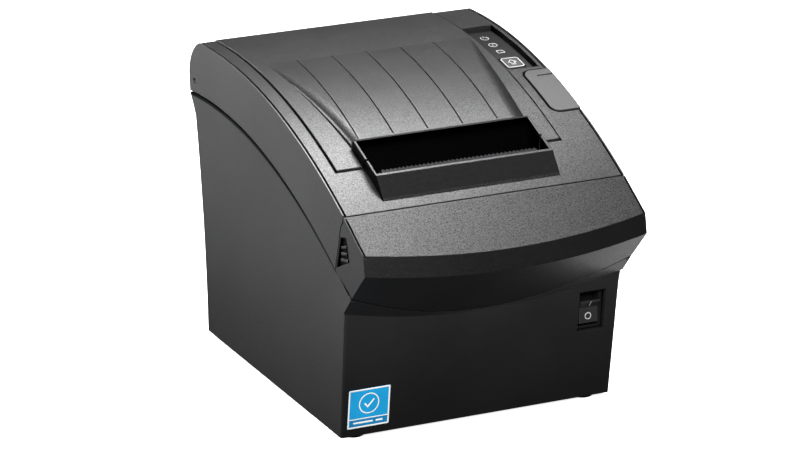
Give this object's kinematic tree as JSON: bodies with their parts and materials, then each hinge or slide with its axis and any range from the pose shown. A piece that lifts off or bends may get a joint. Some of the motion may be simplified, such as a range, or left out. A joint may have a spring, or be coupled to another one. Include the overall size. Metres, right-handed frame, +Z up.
{
  "type": "receipt printer",
  "caption": "Desktop thermal receipt printer with a hinged roll cover, angled paper exit with tear bar, cover lever, feed button and a front rocker switch.",
  "frame": {"origin": "centre of the footprint, on the table under the rubber feet", "axes": "+Z up, +Y from the front towards the rear, +X to the right as seen from the front"},
  "size_m": [0.1446, 0.1949, 0.146],
  "materials": {
    "case_plastic": "dark charcoal moulded plastic, fine even texture",
    "top_plastic": "dark charcoal moulded plastic, spark-eroded texture",
    "cover_plastic": "dark charcoal moulded plastic, smoother satin",
    "lever_plastic": "charcoal moulded plastic, satin",
    "inner_plastic": "black moulded plastic",
    "base_plastic": "black moulded plastic",
    "foot_rubber": "matt black rubber",
    "screw_steel": "zinc plated",
    "shaft_steel": "ground steel",
    "sheet_steel": "zinc plated sheet",
    "blade_steel": "polished hard steel",
    "tear_steel": "blackened steel",
    "motor_steel": "plated can",
    "heatsink": "plain extruded aluminium",
    "head_ceramic": "glazed ceramic strip",
    "platen_rubber": "ground black rubber",
    "gear_plastic": "natural acetal",
    "pinion_brass": "turned brass",
    "circuit_board": "green solder mask",
    "socket_metal": "plated steel shell",
    "socket_plastic": "black moulded plastic",
    "switch_plastic": "black moulded plastic",
    "label_film": "printed film, blue with a white border",
    "lens_plastic": "smoked clear plastic"
  },
  "bodies": {
    "case": {"lower_case": "case_plastic", "base_plate": "base_plastic", "rubber_feet": "foot_rubber", "base_screws": "screw_steel", "upper_case": "case_plastic", "hinge_pins": "shaft_steel", "top_frame": "top_plastic", "light_pipes": "lens_plastic", "panel_board": "circuit_board", "power_switch": "switch_plastic", "front_label": "label_film", "paper_bin": "inner_plastic", "mechanism_frame": "sheet_steel", "idler_shaft": "shaft_steel", "feed_motor": "motor_steel", "head_pin": "shaft_steel", "cutter_base": "sheet_steel", "cutter_motor": "motor_steel", "tear_bar": "tear_steel", "main_board": "circuit_board", "interface_board": "circuit_board", "connector_plate": "sheet_steel", "serial_socket": "socket_metal", "usb_socket": "socket_metal", "drawer_jack": "socket_plastic", "power_inlet": "socket_plastic", "lever_pin": "shaft_steel", "latch_pin": "shaft_steel"},
    "front_cover": {"front_cover": "cover_plastic"},
    "roll_cover": {"roll_cover": "top_plastic", "platen_carrier": "sheet_steel", "platen_bearings": "gear_plastic", "fixed_blade": "blade_steel"},
    "platen": {"platen_shaft": "shaft_steel", "platen_rubber": "platen_rubber", "platen_gear": "gear_plastic"},
    "idler": {"idler_gear": "gear_plastic"},
    "pinion": {"motor_pinion": "pinion_brass"},
    "head": {"print_head": "head_ceramic", "head_heatsink": "heatsink"},
    "blade": {"moving_blade": "blade_steel"},
    "lever": {"open_lever": "lever_plastic"},
    "latch": {"cover_latch": "sheet_steel"},
    "button": {"feed_button": "lever_plastic"},
    "rocker": {"power_rocker": "switch_plastic"}
  },
  "joints": [
    {"name": "cover_hinge", "type": "hinge", "parent": "case", "child": "roll_cover", "pos_m": [0, 0.0912, 0.1247], "axis": [-1, 0, 0], "range_deg": [0, 82]},
    {"name": "front_cover_slide", "type": "slide", "parent": "case", "child": "front_cover", "axis": [0, -1, 0], "range_m": [0, 0.02]},
    {"name": "lever_tilt", "type": "hinge", "parent": "case", "child": "lever", "pos_m": [0.065, 0.0045, 0.1293], "axis": [1, 0, 0], "range_deg": [0, 6], "stiffness_Nm_per_rad": 0.05, "springref_deg": -2.86},
    {"name": "latch_turn", "type": "hinge", "parent": "case", "child": "latch", "pos_m": [0.057, -0.02, 0.094], "axis": [-1, 0, 0], "range_deg": [0, 6]},
    {"name": "feed_button_press", "type": "slide", "parent": "case", "child": "button", "axis": [0, 0.1743, -0.9847], "range_m": [0, 0.0008], "stiffness_N_per_m": 300, "springref_m": -0.0008},
    {"name": "power_rock", "type": "hinge", "parent": "case", "child": "rocker", "pos_m": [0.0572, -0.0636, 0.0463], "axis": [-1, 0, 0], "range_deg": [0, 16]},
    {"name": "head_pivot", "type": "hinge", "parent": "case", "child": "head", "pos_m": [0, -0.03585, 0.09081], "axis": [1, 0, 0], "range_deg": [0, 3], "stiffness_Nm_per_rad": 0.6, "springref_deg": -1.72},
    {"name": "cutter_slide", "type": "slide", "parent": "case", "child": "blade", "axis": [0, 1, 0], "range_m": [0, 0.007]},
    {"name": "platen_spin", "type": "hinge", "parent": "roll_cover", "child": "platen", "pos_m": [0, -0.031, 0.104], "axis": [1, 0, 0], "continuous": true},
    {"name": "idler_spin", "type": "hinge", "parent": "case", "child": "idler", "pos_m": [0.046, -0.02416, 0.08521], "axis": [1, 0, 0], "continuous": true},
    {"name": "motor_spin", "type": "hinge", "parent": "case", "child": "pinion", "pos_m": [0.046, -0.03316, 0.06962], "axis": [1, 0, 0], "continuous": true}
  ],
  "couplings": [
    {"joint": "latch_turn", "follows": "lever_tilt", "ratio": 1},
    {"joint": "idler_spin", "follows": "platen_spin", "ratio": -0.66667},
    {"joint": "motor_spin", "follows": "platen_spin", "ratio": 1.3333}
  ]
}
